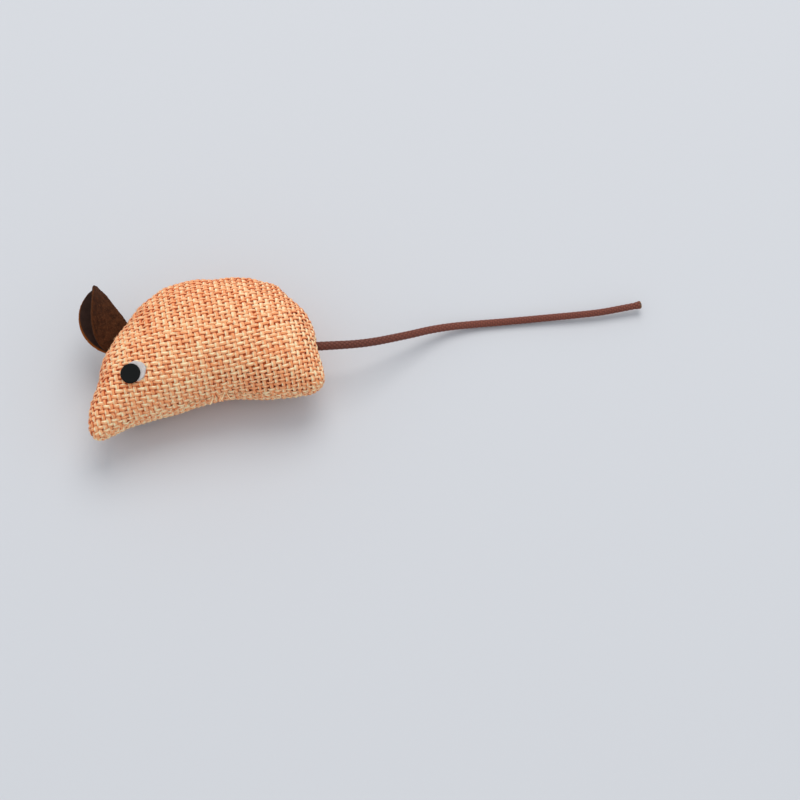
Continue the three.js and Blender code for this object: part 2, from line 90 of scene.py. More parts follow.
# Seam outline as shares of body length and depth, from the chin corner along
# the belly, up the rump, back along the spine and down to the nose.
OUTLINE = np.array([
    (0.02, 0), (0.182, 0.062), (0.373, 0.098), (0.574, 0.128), (0.774, 0.059), (0.945, 0.033),
    (0.988, 0.082), (0.998, 0.2), (1, 0.354), (0.985, 0.572), (0.919, 0.77), (0.876, 0.887),
    (0.705, 0.974), (0.473, 1), (0.332, 0.923), (0.219, 0.774), (0.119, 0.585), (0.055, 0.359),
    (0, 0.162),
])
CHIN, LOWER_RUMP, UPPER_RUMP, NOSE = 0, 6, 11, 18  # the points that are the panel's corners
STEPS_BETWEEN = 24

joints = {joint["name"]: joint for joint in frame["record"]["behaviour"]["joints"]}
tail_exit = np.array(joints["tail_swing"]["pos_m"])
seam_height = tail_exit[2]


def smooth_line(points, closed):
    """Smooth line through the points, in STEPS_BETWEEN steps from each point to the next."""
    if closed:
        before, after, beyond = (np.roll(points, step, 0) for step in (1, -1, -2))
    else:
        longer = np.vstack([2 * points[0] - points[1], points, 2 * points[-1] - points[-2]])
        before, points, after, beyond = longer[:-3], longer[1:-2], longer[2:-1], longer[3:]

    def root_gap(start, end):
        return np.linalg.norm(end - start, axis=1, keepdims=True) ** 0.5

    first, span, last = root_gap(before, points), root_gap(points, after), root_gap(after, beyond)
    leave = ((points - before) / first - (after - before) / (first + span)) * span + after - points
    arrive = after - points + ((beyond - after) / last - (beyond - points) / (span + last)) * span
    share = (np.arange(STEPS_BETWEEN) / STEPS_BETWEEN)[None, :, None]
    start, end, leave, arrive = (part[:, None] for part in (points, after, leave, arrive))
    line = start + leave * share
    line = line + (3 * (end - start) - 2 * leave - arrive) * share**2
    line = line + (2 * (start - end) + leave + arrive) * share**3
    line = line.reshape(-1, points.shape[1])
    return line if closed else np.vstack([line, after[-1]])


def run_of(line):
    """Length from the start of a line to each of its points."""
    return np.concatenate([[0], np.cumsum(np.linalg.norm(np.diff(line, axis=0), axis=1))])


def unit(vectors):
    return vectors / np.maximum(np.linalg.norm(vectors, axis=-1, keepdims=True), 1e-12)


seam_line = smooth_line(OUTLINE * (BODY_LENGTH, BODY_DEPTH), closed=True)
seam_line += np.array(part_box("upper_panel")[0])[:2] - seam_line.min(axis=0)
seam_line = np.vstack([seam_line, seam_line[:1]])
seam_run = run_of(seam_line)
seam_length = seam_run[-1]
chin, lower_rump, upper_rump, nose = (
    seam_run[corner * STEPS_BETWEEN] / seam_length for corner in (CHIN, LOWER_RUMP, UPPER_RUMP, NOSE)
)
seam_heading = unit(np.roll(seam_line[:-1], -1, 0) - np.roll(seam_line[:-1], 1, 0))
seam_outward = np.stack([seam_heading[:, 1], -seam_heading[:, 0]], 1)
seam_outward = np.vstack([seam_outward, seam_outward[:1]])


def seam_at(place, inset=0.0):
    """Point on the seam at a share of the way round it, drawn in by the inset."""
    distance = np.mod(place, 1) * seam_length
    point, outward = (
        np.stack([np.interp(distance, seam_run, part[:, axis]) for axis in (0, 1)], -1)
        for part in (seam_line, seam_outward)
    )
    return point - outward * np.expand_dims(inset, -1)


# Places round the seam where uneven stitching lets the cloth out, or draws it in if below zero.
PUCKERS = [
    (0.41, -0.5 * MM), (0.57, -0.5 * MM), (0.65, -0.55 * MM), (0.73, 0.5 * MM),
    (0.775, 0.4 * MM), (0.88, 0.5 * MM), (0.985, 0.6 * MM), (0, 0.5 * MM),
]
PUCKER_SPREAD = 0.018  # share of the seam's length


def cloth_edge(place):
    """Point on the middle of the cloth where it turns in at the seam."""
    inset = WEAVE_DEPTH + 0 * place
    for centre, let_out in PUCKERS:
        off = np.mod(place - centre + 0.5, 1) - 0.5
        inset = inset - let_out * np.exp(-((off / PUCKER_SPREAD) ** 2))
    return seam_at(place, inset)


def ease(value, low, high):
    """0 up to the low value, 1 from the high one, and a smooth rise between them."""
    share = np.clip((value - low) / (high - low), 0, 1)
    return share * share * (3 - 2 * share)


EAR_PLACE = 0.832  # share of the way round the seam, as for the tail
EAR_BASE = 11.5 * MM
EAR_FELT = 0.7 * MM
EAR_PARTING = 3 * MM  # past the ear the edges close over this length
TAIL_PLACE = 0.4185
TAIL_RADIUS = 1.1 * MM
TAIL_PARTING = 2.5 * MM
TAIL_ROOM = 1.12  # the edges leave this many times the tail's radius
SEAM_GAP = 0.1 * MM


def half_gap(place):
    """Half the space between the panels' edges, which part for the ear and the tail."""
    def near(centre, half_width, taper):
        off = np.abs(np.mod(place - centre + 0.5, 1) - 0.5) * seam_length
        return 1 - ease(off, half_width, half_width + taper)

    ear = EAR_FELT * near(EAR_PLACE, EAR_BASE / 2, EAR_PARTING)
    tail = TAIL_ROOM * TAIL_RADIUS * near(TAIL_PLACE, 0.8 * TAIL_RADIUS, TAIL_PARTING)
    return SEAM_GAP + ear + tail


def lengthwise(along):
    """Thickness from nose to rump, before it is scaled to the crown."""
    return np.sqrt((1 - (1 - along) ** NOSE_FULLNESS) * (1 - along**RUMP_FULLNESS))


CROWDING = 0.65  # 0 spaces the grid evenly and 1 crowds it most towards its edges


def edge_spaced(cells):
    """Shares from 0 to 1, closer together towards both ends, where the cloth turns steeply."""
    even = np.linspace(0, 1, cells + 1)
    return (1 - CROWDING) * even + CROWDING * (1 - np.cos(np.pi * even)) / 2


def between(start, end, share):
    return start + (end - start) * share


SIDE_FADE = 4  # a larger power keeps the parting of the edges nearer to the seam
RUMP_FADE = 12


def panel_form(side):
    """Grid of points over a stuffed panel, from nose to rump and from belly to back."""
    along, up = np.meshgrid(edge_spaced(CELLS_ALONG), edge_spaced(CELLS_UP), indexing="ij")
    belly, back = between(chin, lower_rump, along), between(nose, upper_rump, along)
    brow, rump = between(chin + 1, nose, up), between(lower_rump, upper_rump, up)
    flat = np.zeros(along.shape + (2,))
    sides = [(belly, 1 - up), (back, up), (brow, 1 - along), (rump, along)]
    corners = [
        (chin, (1 - along) * (1 - up)), (lower_rump, along * (1 - up)),
        (nose, (1 - along) * up), (upper_rump, along * up),
    ]
    for place, weight in sides:
        flat += cloth_edge(place) * weight[..., None]
    for place, weight in corners:
        flat -= cloth_edge(place) * weight[..., None]
    gap = np.maximum.reduce([
        half_gap(belly) * (1 - up) ** SIDE_FADE,
        half_gap(back) * up**SIDE_FADE,
        half_gap(rump) * along**RUMP_FADE,
    ])
    fullness = SIDE_FULLNESS if side > 0 else RESTING_FULLNESS
    across = np.sqrt(np.clip(1 - np.abs(2 * up - 1) ** fullness, 0, 1))
    swell = across * lengthwise(along) / lengthwise(np.linspace(0, 1, 101)).max()
    height = gap + (CROWN - WEAVE_DEPTH - gap) * swell
    return np.dstack([flat, seam_height + side * height])


def grid_faces(numbers, flipped):
    """Square faces over a grid of point numbers."""
    corners = [numbers[:-1, :-1], numbers[1:, :-1], numbers[1:, 1:], numbers[:-1, 1:]]
    faces = np.stack(corners, -1).reshape(-1, 4)
    return faces[:, ::-1] if flipped else faces


def rim_of(grid):
    """The points round a grid's edge, in order."""
    return np.concatenate([grid[:-1, 0], grid[-1, :-1], grid[:0:-1, -1], grid[0, :0:-1]])


def new_piece(name, points, faces):
    mesh = bpy.data.meshes.new(name)
    mesh.from_pydata(np.reshape(points, (-1, 3)).tolist(), [], [list(face) for face in faces])
    mesh.shade_smooth()
    piece = bpy.data.objects.new(name, mesh)
    bpy.context.scene.collection.objects.link(piece)
    return piece


CLOTH_SCALE = 10  # the cloth solver settles better on a larger body
CLOTH_FRAMES = 20
CLOTH_REACH = 0.6 * MM  # no point of the panel is pressed out further than this


def stuffed(grid, side):
    """The panel after its stuffing presses it out, with its edge held by the seam."""
    numbers = np.arange(grid.shape[0] * grid.shape[1]).reshape(grid.shape[:2])
    cloth_piece = new_piece("stuffed_cloth", grid * CLOTH_SCALE, grid_faces(numbers, side < 0))
    held = cloth_piece.vertex_groups.new(name="seam")
    held.add(rim_of(numbers).tolist(), 1.0, "REPLACE")
    cloth = cloth_piece.modifiers.new("stuffing", "CLOTH")
    cloth.settings.quality = 6
    cloth.settings.mass = 0.3
    cloth.settings.tension_stiffness = 25
    cloth.settings.compression_stiffness = 25
    cloth.settings.shear_stiffness = 8
    cloth.settings.bending_stiffness = 0.4
    cloth.settings.vertex_group_mass = "seam"
    cloth.settings.use_pressure = True
    cloth.settings.uniform_pressure_force = 15
    cloth.settings.shrink_min = -0.006
    cloth.settings.effector_weights.gravity = 0
    cloth.collision_settings.use_collision = False
    for step in range(1, CLOTH_FRAMES + 1):
        bpy.context.scene.frame_set(step)
    settled = cloth_piece.evaluated_get(bpy.context.evaluated_depsgraph_get()).data
    points = np.empty(len(settled.vertices) * 3)
    settled.vertices.foreach_get("co", points)
    moved = points.reshape(grid.shape) / CLOTH_SCALE - grid
    bpy.data.objects.remove(cloth_piece)
    bpy.context.scene.frame_set(1)
    far = np.linalg.norm(moved, axis=-1, keepdims=True)
    return grid + moved * np.minimum(1, CLOTH_REACH / np.maximum(far, 1e-9))


FOLD_IN = 1.6 * MM  # what shows of the edge turned in along the seam


def with_turned_edge(grid):
    """The panel's grid with one more row of cells all round, turned in at the seam."""
    wider = np.pad(grid, ((1, 1), (1, 1), (0, 0)), mode="edge")
    inward = FOLD_IN * unit((grid.reshape(-1, 3).mean(axis=0) - wider) * (1, 1, 0))
    inward[1:-1, 1:-1] = 0
    return wider + inward


def normals_of(grid, side):
    return unit(np.cross(np.gradient(grid, axis=0), np.gradient(grid, axis=1))) * side


def shell(outer, inner, flipped=False):
    """Points and faces of a closed sheet between an outer and an inner grid."""
    count = outer.shape[0] * outer.shape[1]
    top = np.arange(count).reshape(outer.shape[:2])
    rim = rim_of(top)
    following = np.roll(rim, -1)
    edge = np.stack([rim + count, following + count, following, rim], -1)
    if flipped:
        edge = edge[:, ::-1]
    faces = np.vstack([grid_faces(top, flipped), grid_faces(top + count, not flipped), edge])
    return np.concatenate([outer.reshape(-1, 3), inner.reshape(-1, 3)]), faces


class Wire:
    """The output of a shader node. Arithmetic on it adds Math nodes."""

    def __init__(self, finish, output):
        self.finish = finish
        self.output = output

    def maths(self, operation, first, second):
        return self.finish.node("ShaderNodeMath", {"operation": operation}, {0: first, 1: second})

    def __add__(self, other):
        return self.maths("ADD", self, other)

    def __sub__(self, other):
        return self.maths("SUBTRACT", self, other)

    def __rsub__(self, other):
        return self.maths("SUBTRACT", other, self)

    def __mul__(self, other):
        return self.maths("MULTIPLY", self, other)


class Finish:
    """A material whose nodes are added one by one. Sockets given by name are constants."""

    def __init__(self, name, **constants):
        self.material = bpy.data.materials.new(name)
        self.material.use_nodes = True
        self.tree = self.material.node_tree
        self.shader = self.tree.nodes["Principled BSDF"]
        for socket, value in constants.items():
            self.shader.inputs[socket.replace("_", " ")].default_value = value

    def put(self, socket, value):
        if isinstance(value, Wire):
            self.tree.links.new(value.output, socket)
        else:
            socket.default_value = value

    def node(self, kind, settings, inputs, output=0):
        made = self.tree.nodes.new(kind)
        for name, value in settings.items():
            setattr(made, name, value)
        for name, value in inputs.items():
            self.put(made.inputs[name], value)
        return Wire(self, made.outputs[output])

    def mark(self, name, output="Fac"):
        """A number, or with output "Vector" three numbers, kept on each point of the mesh."""
        return self.node("ShaderNodeAttribute", {"attribute_name": name}, {}, output)

    def place(self):
        return self.node("ShaderNodeTexCoord", {}, {}, "Object")

    def noise(self, vector, scale, detail=2.0, roughness=0.5):
        inputs = {"Vector": vector, "Scale": scale, "Detail": detail, "Roughness": roughness}
        return self.node("ShaderNodeTexNoise", {}, inputs)

    def step(self, value, low, high):
        inputs = {"Value": value, "From Min": low, "From Max": high}
        return self.node("ShaderNodeMapRange", {"interpolation_type": "SMOOTHSTEP"}, inputs)

    def mix(self, share, first, second):
        return self.node("ShaderNodeMix", {"data_type": "RGBA"}, {0: share, 6: first, 7: second}, 2)

    def bump(self, height, distance):
        return self.node("ShaderNodeBump", {}, {"Height": height, "Distance": distance})

    def wear(self, piece, **links):
        """Links what varies to the shader's sockets and puts the finish on the piece."""
        for socket, value in links.items():
            self.put(self.shader.inputs[socket.replace("_", " ")], value)
        piece.data.materials.clear()
        piece.data.materials.append(self.material)


def paint(red, green, blue):
    """A colour as its 0 to 255 screen values, turned into the linear values that shaders take."""
    levels = np.array([red, green, blue]) / 255
    linear = np.where(levels <= 0.04045, levels / 12.92, ((levels + 0.055) / 1.055) ** 2.4)
    return (*linear.tolist(), 1.0)


STRAIN_REACH = 9 * MM  # how far in from the seam the stuffing draws the yarns apart and painted shade reaches
STRAIN_FROM, STRAIN_TO = -5 * MM, 16 * MM  # where along the body this sets in
SEAM_SAMPLE = 8  # every eighth point of the seam is near enough to measure from


def strain_and_shade(points):
    """How far the yarns are drawn apart, and how much painted shade darkens them and the cloth behind: 1
    at the seam of the rump and 0 on the head.
    """
    to_seam = points[..., None, :2] - seam_line[::SEAM_SAMPLE]
    inward = np.linalg.norm(to_seam, axis=-1).min(axis=-1)
    return (1 - ease(inward, MM, STRAIN_REACH)) * ease(points[..., 0], STRAIN_FROM, STRAIN_TO)


def keep_mark(piece, mark, values):
    """Keeps a number, or three if the values have rows of three, on each point of the mesh."""
    kind, part = ("FLOAT_VECTOR", "vector") if values.ndim == 2 else ("FLOAT", "value")
    piece.data.attributes.new(mark, kind, "POINT").data.foreach_set(part, values.ravel())


BACKING_DEPTH = 0.3 * MM  # from the middle of the weave in to the shadowed back of the yarns
BACKING_THICKNESS = 0.25 * MM


def burlap_backing(piece):
    """What shows between the yarns: their rust-coloured backs, with pale stuffing in places, darkened
    near the rump's seam by painted shade.
    """
    finish = Finish("burlap_backing", Roughness=0.95)
    place = finish.place()
    fibres = finish.noise(place, scale=2600, detail=3)
    stuffing = finish.step(finish.noise(place, scale=700), 0.58, 0.7)
    rust = finish.mix(fibres, paint(247, 113, 41), paint(251, 155, 86))
    colour = finish.mix(stuffing, rust, paint(252, 208, 170))
    # painted shade: the cloth behind the yarns darkens near the rump's seam
    colour = finish.mix(finish.mark("strain_and_shade"), colour, paint(138, 54, 14))
    finish.wear(piece, Base_Color=colour, Normal=finish.bump(fibres, 0.1 * MM))


TABLE_GAP = 0.15 * MM
sides = {"upper": 1, "lower": -1}  # which way each panel bulges
panels = {}
for name, side in sides.items():
    grid = stuffed(panel_form(side), side)
    if side < 0:
        grid[..., 2] = np.maximum(grid[..., 2], WEAVE_DEPTH + TABLE_GAP)
    grid = with_turned_edge(grid)
    normals = normals_of(grid, side)
    outer = grid - normals * BACKING_DEPTH
    inner = outer - normals * BACKING_THICKNESS
    backing = new_piece(f"{name}_panel_cloth", *shell(outer, inner, side < 0))
    keep_mark(backing, "strain_and_shade", np.tile(strain_and_shade(grid).ravel(), 2))
    burlap_backing(backing)
    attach(backing, "mouse_body")
    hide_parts(f"{name}_panel")
    panels[name] = grid

# Burlap weave
# Thick slubby yarns in a plain weave, painted cream as highlight and rust as shade. The weft runs from
# nose to tail and the warp from belly to back, each going over one and under the next.
WARP_PITCH = 1.5 * MM
WEFT_PITCH = 1.22 * MM
WARP_HALF_WIDTH = 0.6 * MM
WEFT_HALF_WIDTH = 0.48 * MM
WEFT_BOW = 10.5  # the weft runs in a shallow arc, this many radians to the metre
BOW_PLACE = 0.5 * MM  # where along the body the arc is level
WEAVE_WAVE = 0.2 * MM  # how far a yarn rises and dips from the middle of the cloth
YARN_HALF_THICKNESS = 0.26 * MM
YARN_SIDES = 9
YARN_STEP = 0.32 * MM
YARN_STRAY = 0.14  # how far a yarn may lie off its even place, as a share of the pitch
SHORTEST_YARN = 6  # steps; the seam hides shorter ends
YARN_LUMPS = 0.1  # unevenness of a yarn's outline, as a share of its thickness
YARN_SWAY = 0.12 * MM
SLUB_LENGTH = 2.6 * MM  # thick and thin places follow each other about this far apart
SWAY_LENGTH = 3.5 * MM
TONE_LENGTH = 2.2 * MM
SLUB_WIDTH = 0.22
SLUB_THICKNESS = 0.12
STRAIN_SLIMS = 0.2  # a yarn drawn tight by the stuffing is this much narrower
# painted shade: yarns near the rump's seam are this much darker in tone
SEAM_SHADE_PAINTED = 0.35
FINER = 3
STEPS_PER_HAIR = 18
HAIR_RADIUS = 0.025 * MM
HAIR_ROOT = 0.2 * MM
HAIR_POINTS = 6
HAIR_RISE = 0.7  # how steeply a hair leaves the cloth
HAIR_CURL = 300  # to the metre; bends the hair back to the cloth
RUBBED_BARE = 5 * MM  # round the tail, which wears the hairs off as it swings
yarn_luck = np.random.default_rng(11)


class Strands:
    """Strands gathered into one mesh, each a closed tube along its own line."""

    def __init__(self, sides):
        self.turns = np.arange(sides) / sides * 2 * np.pi
        self.luck = np.random.default_rng(sides)
        self.rings = []
        self.marks = []

    def add(self, line, normal, half_width, half_thickness, lumps=0.0, **marks):
        """Adds a strand along a line. The normal is the way its thickness lies."""
        heading = unit(np.gradient(line, axis=0))
        across = unit(np.cross(normal, heading))
        lift = np.cross(heading, across)
        lumpy = 1 + lumps * self.luck.uniform(-1, 1, (len(line), len(self.turns)))
        wide = np.broadcast_to(half_width, len(line))[:, None] * np.cos(self.turns) * lumpy
        high = np.broadcast_to(half_thickness, len(line))[:, None] * np.sin(self.turns) * lumpy
        ring = line[:, None] + across[:, None] * wide[..., None] + lift[:, None] * high[..., None]
        self.rings.append(ring)
        run = run_of(line)[:, None] + 0 * wide
        offset = len(self.rings) * 7.3  # gives each strand a grain of its own
        grain = np.stack([run / MM, wide / MM + offset, high / MM - offset], -1)
        marks = {mark: np.broadcast_to(value, run.shape[::-1]).T for mark, value in marks.items()}
        crest = np.broadcast_to(np.sin(self.turns), run.shape)
        flank = np.broadcast_to(np.cos(self.turns), run.shape)
        self.marks.append({"grain": grain, "crest": crest, "flank": flank, **marks})

    def build(self, name):
        """One mesh of all strands, each laid out straight in its own row of the map."""
        count = len(self.turns)
        around = np.arange(count)
        quads, caps, quad_maps, cap_maps, first = [], [], [], [], 0
        longest = max(run_of(ring[:, 0])[-1] for ring in self.rings)
        for strand, ring in enumerate(self.rings):
            steps = len(ring)
            numbers = first + np.arange(steps * count).reshape(steps, count)
            ahead = np.roll(numbers, -1, axis=1)
            quads.append(np.stack([numbers[:-1], ahead[:-1], ahead[1:], numbers[1:]], -1).reshape(-1, 4))
            caps += [numbers[0, ::-1].tolist(), numbers[-1].tolist()]
            run = run_of(ring[:, 0]) / longest
            turn = (strand + between(0.05, 0.95, np.arange(count + 1) / count)) / len(self.rings)
            u, v = np.meshgrid(run, turn, indexing="ij")
            spread = np.stack([u, v], -1)
            corners = [spread[:-1, :-1], spread[:-1, 1:], spread[1:, 1:], spread[1:, :-1]]
            quad_maps.append(np.stack(corners, 2).reshape(-1, 2))
            cap_maps += [spread[0, around[::-1]], spread[-1, around]]
            first += steps * count
        points = np.concatenate([ring.reshape(-1, 3) for ring in self.rings])
        piece = new_piece(name, points, np.concatenate(quads).tolist() + caps)
        layer = piece.data.uv_layers.new(name="OFBake")
        layer.data.foreach_set("uv", np.concatenate(quad_maps + cap_maps).ravel())
        for mark, example in self.marks[0].items():
            depth = example.shape[2:]
            values = np.concatenate([marks[mark].reshape(-1, *depth) for marks in self.marks])
            keep_mark(piece, mark, values)
        return piece


def wander(luck, run, every):
    """Random values between -1 and 1 along a run, changing smoothly over each stretch of every."""
    knots = np.arange(run[0] - every, run[-1] + 2 * every, every)
    return np.interp(run, knots, luck.uniform(-1, 1, len(knots)))


def finer(grid):
    """The grid with FINER times as many cells each way."""
    for axis in (0, 1):
        count = grid.shape[axis]
        at = np.linspace(0, count - 1, (count - 1) * FINER + 1)
        low = np.minimum(at.astype(int), count - 2)
        others = [other for other in range(grid.ndim) if other != axis]
        share = np.expand_dims(at - low, others)
        grid = np.take(grid, low, axis) * (1 - share) + np.take(grid, low + 1, axis) * share
    return grid


def cloth_lengths(grid):
    """How far along the warp and the weft each point of the panel lies in the flat cloth."""
    middle = grid.shape[1] // 2
    ridge = grid[1:-1, middle]
    ridge = ridge[np.argsort(ridge[:, 0])]
    ahead = grid[..., 0]
    on_ridge = np.clip(ahead, ridge[0, 0], ridge[-1, 0])
    weft_run = np.interp(on_ridge, ridge[:, 0], run_of(ridge[:, [0, 2]])) + ahead - on_ridge
    warp_run = np.array([run_of(column) - run_of(column)[middle] + column[middle, 1] for column in grid])
    return weft_run, warp_run - WEFT_BOW * (grid[..., 0] - BOW_PLACE) ** 2 / 2


def yarn_lines(level_field, other_field, grid, normals, pitch):
    """For each yarn, its number, its own run and that past the other yarns, its line and normals."""
    steps = np.arange(len(level_field))
    first, last = math.ceil(level_field.min() / pitch), math.floor(level_field.max() / pitch)
    for number in range(first, last + 1):
        level = (number + yarn_luck.uniform(-1, 1) * YARN_STRAY) * pitch
        at = np.array([np.interp(level, row, steps, -1, -1) for row in level_field.T])
        found = np.flatnonzero(at >= 0)
        for rows in np.split(found, np.flatnonzero(np.diff(found) > 1) + 1):
            if len(rows) < SHORTEST_YARN:
                continue
            low = np.minimum(at[rows].astype(int), len(steps) - 2)
            share = (at[rows] - low)[:, None]
            past = between(other_field[low, rows], other_field[low + 1, rows], share[:, 0])
            line = between(grid[low, rows], grid[low + 1, rows], share)
            normal = between(normals[low, rows], normals[low + 1, rows], share)
            own_run = run_of(line)
            run = np.arange(0, own_run[-1], YARN_STEP)
            if len(run) < SHORTEST_YARN:
                continue
            line, normal = (
                np.stack([np.interp(run, own_run, part[:, axis]) for axis in range(3)], 1)
                for part in (line, normal)
            )
            yield number, run, np.interp(run, own_run, past), line, unit(normal)


def burlap_yarn(piece):
    """Jute-like peach yarn, varied at random in tone, painted cream as highlight on one flank, the crest
    and raised floats, and rust as shade on the other flank and where it dips under.
    """
    finish = Finish("burlap_yarn", Roughness=0.85, Sheen_Weight=0.1, Sheen_Roughness=0.5)
    tone = finish.mark("tone")
    grain = finish.mark("grain", "Vector")
    stretched = finish.node("ShaderNodeMapping", {}, {"Vector": grain, "Scale": (0.7, 3.0, 3.0)})
    fibres = finish.noise(stretched, scale=1.7, detail=6, roughness=0.7)
    streak = (fibres - 0.5) * 2
    # Painted light: the lit flank, the crest and raised floats turn cream as painted highlight; the far
    # flank and the dips turn rust as painted shade.
    lit_side_and_tone = finish.mark("flank") * 0.7 + finish.mark("crest") * 0.45 + finish.mark("lift") * 0.2
    lit_side_and_tone = lit_side_and_tone + tone * 0.15 + streak * 0.65
    warmth = finish.step(tone + streak, -0.9, 0.9)
    painted_shade_rust = finish.step(lit_side_and_tone, 0.12, -0.35)
    painted_highlight_cream = finish.step(lit_side_and_tone, 0.62, 1.0)
    colour = finish.mix(warmth, paint(246, 158, 100), paint(252, 186, 132))
    colour = finish.mix(painted_shade_rust, colour, paint(192, 74, 10))
    colour = finish.mix(painted_highlight_cream, colour, paint(252, 234, 189))
    finish.wear(piece, Base_Color=colour, Normal=finish.bump(fibres, 0.12 * MM))


def stray_fibre(piece):
    """Pale single fibres that stand off the yarns."""
    finish = Finish("stray_fibre", Roughness=0.9)
    shade = finish.noise(finish.place(), scale=1200)
    colour = finish.mix(shade, paint(236, 178, 128), paint(255, 236, 200))
    finish.wear(piece, Base_Color=colour)


for name, side in sides.items():
    grid = panels[name]
    weft_run, warp_run = cloth_lengths(grid)
    weft_run[0] = weft_run[1] - FOLD_IN
    weft_run[-1] = weft_run[-2] + FOLD_IN
    warp_run[:, 0] = warp_run[:, 1] - FOLD_IN
    warp_run[:, -1] = warp_run[:, -2] + FOLD_IN
    weft_run, warp_run, grid = finer(weft_run), finer(warp_run), finer(grid)
    normals = normals_of(grid, side)
    across = tuple(np.swapaxes(field, 0, 1) for field in (warp_run, weft_run, grid, normals))
    hairs = Strands(3)
    for yarns, fields, pitch, other_pitch, half_width, sense in (
        ("warp", (weft_run, warp_run, grid, normals), WARP_PITCH, WEFT_PITCH, WARP_HALF_WIDTH, 1),
        ("weft", across, WEFT_PITCH, WARP_PITCH, WEFT_HALF_WIDTH, -1),
    ):
        strands = Strands(YARN_SIDES)
        for number, run, past, line, normal in yarn_lines(*fields, pitch):
            lift = sense * np.cos(np.pi * (past / other_pitch + number))
            slub = wander(yarn_luck, run, SLUB_LENGTH)
            sway = wander(yarn_luck, run, SWAY_LENGTH) * YARN_SWAY
            sideways = unit(np.cross(normal, np.gradient(line, axis=0)))
            tone = wander(yarn_luck, run, TONE_LENGTH) + yarn_luck.uniform(-0.4, 0.4)
            tight_and_shaded = strain_and_shade(line)
            strands.add(
                line + normal * (lift * WEAVE_WAVE)[:, None] + sideways * sway[:, None],
                normal,
                half_width * (1 + SLUB_WIDTH * slub) * (1 - STRAIN_SLIMS * tight_and_shaded),
                YARN_HALF_THICKNESS * (1 + SLUB_THICKNESS * slub),
                YARN_LUMPS,
                lift=lift,
                # the tone takes painted shade near the rump's seam
                tone=tone - SEAM_SHADE_PAINTED * tight_and_shaded,
            )
            for root in yarn_luck.integers(2, len(line) - 2, len(line) // STEPS_PER_HAIR):
                if np.linalg.norm(line[root] - tail_exit) < RUBBED_BARE:
                    continue
                reach = np.linspace(0, 1, HAIR_POINTS)[:, None] * yarn_luck.uniform(0.6, 1.7) * MM
                slant = unit(line[root + 1] - line[root - 1]) * yarn_luck.choice([-0.8, 0.8])
                slant = slant + sideways[root] * yarn_luck.uniform(-0.6, 0.6)
                stand = HAIR_ROOT + reach * (HAIR_RISE - reach * HAIR_CURL)
                hair = line[root] + normal[root] * stand + slant * reach
                hair[:, 2] = np.maximum(hair[:, 2], 2 * HAIR_RADIUS)
                hairs.add(hair, normal[root], HAIR_RADIUS, HAIR_RADIUS)
        cloth = strands.build(f"{name}_panel_{yarns}")
        burlap_yarn(cloth)
        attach(cloth, "mouse_body")
    fuzz = hairs.build(f"{name}_panel_fuzz")
    stray_fibre(fuzz)
    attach(fuzz, "mouse_body")

# Filling
# Two wads of loose white fibre pushed in from the belly gap, with a lump of dried
# crushed catnip held between them. Nothing of it shows from outside.
WAD_VOXEL = 0.9 * MM
WAD_LUMP = 0.35 * MM
WAD_GRAIN = 260  # lumps to the metre
HERB_VOXEL = 0.6 * MM
HERB_LUMP = 0.5 * MM
HERB_GRAIN = 700


def lumpy_copy(name, node, voxel, lump, grain):
    """A finer copy of a solid whose surface is drawn in unevenly."""
    source = frame["nodes"][node]
    rough = bpy.data.objects.new(name, source.data.copy())
    bpy.context.scene.collection.objects.link(rough)
    remesh = rough.modifiers.new("loosened", "REMESH")
    remesh.mode = "VOXEL"
    remesh.voxel_size = voxel
    mesh = bpy.data.meshes.new_from_object(rough.evaluated_get(bpy.context.evaluated_depsgraph_get()))
    mesh.name = name
    for vertex in mesh.vertices:
        coarse = noise.noise(vertex.co * grain)
        fine = noise.noise(vertex.co * grain * 3)
        vertex.co -= vertex.normal * lump * (0.6 + 0.4 * coarse + 0.2 * fine)
    rough.modifiers.clear()
    rough.data = mesh
    mesh.shade_smooth()
    return rough


def fibre_fill(piece):
    """Loose white fibre, curled and matted."""
    finish = Finish("fibre_fill", Roughness=1.0, Sheen_Weight=0.3)
    place = finish.place()
    curl = finish.noise(place, scale=900, detail=6, roughness=0.7)
    waves = {"Vector": place, "Scale": 400.0, "Distortion": 18.0, "Detail": 4.0}
    height = curl * 0.6 + finish.node("ShaderNodeTexWave", {}, waves) * 0.4
    colour = finish.mix(height, paint(206, 200, 190), paint(247, 244, 238))
    finish.wear(piece, Base_Color=colour, Normal=finish.bump(height, 0.3 * MM))


def dried_herb(piece):
    """Crushed leaf and stalk, dull green to brown."""
    finish = Finish("dried_herb", Roughness=1.0)
    place = finish.place()
    crumbs = finish.node("ShaderNodeTexVoronoi", {}, {"Vector": place, "Scale": 1100.0})
    shade = finish.noise(place, scale=500, detail=4)
    colour = finish.mix(shade, paint(78, 84, 40), paint(150, 146, 84))
    colour = finish.mix(finish.step(crumbs, 0.2, 0.7), colour, paint(104, 82, 48))
    finish.wear(piece, Base_Color=colour, Normal=finish.bump(crumbs, 0.4 * MM))


for node in ("stuffing_front", "stuffing_rear"):
    wad = lumpy_copy(node.replace("stuffing", "wad"), node, WAD_VOXEL, WAD_LUMP, WAD_GRAIN)
    fibre_fill(wad)
    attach(wad, "mouse_body")
    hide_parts(node)

herb = lumpy_copy("catnip_lump", "catnip_fill", HERB_VOXEL, HERB_LUMP, HERB_GRAIN)
dried_herb(herb)
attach(herb, "mouse_body")
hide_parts("catnip_fill")

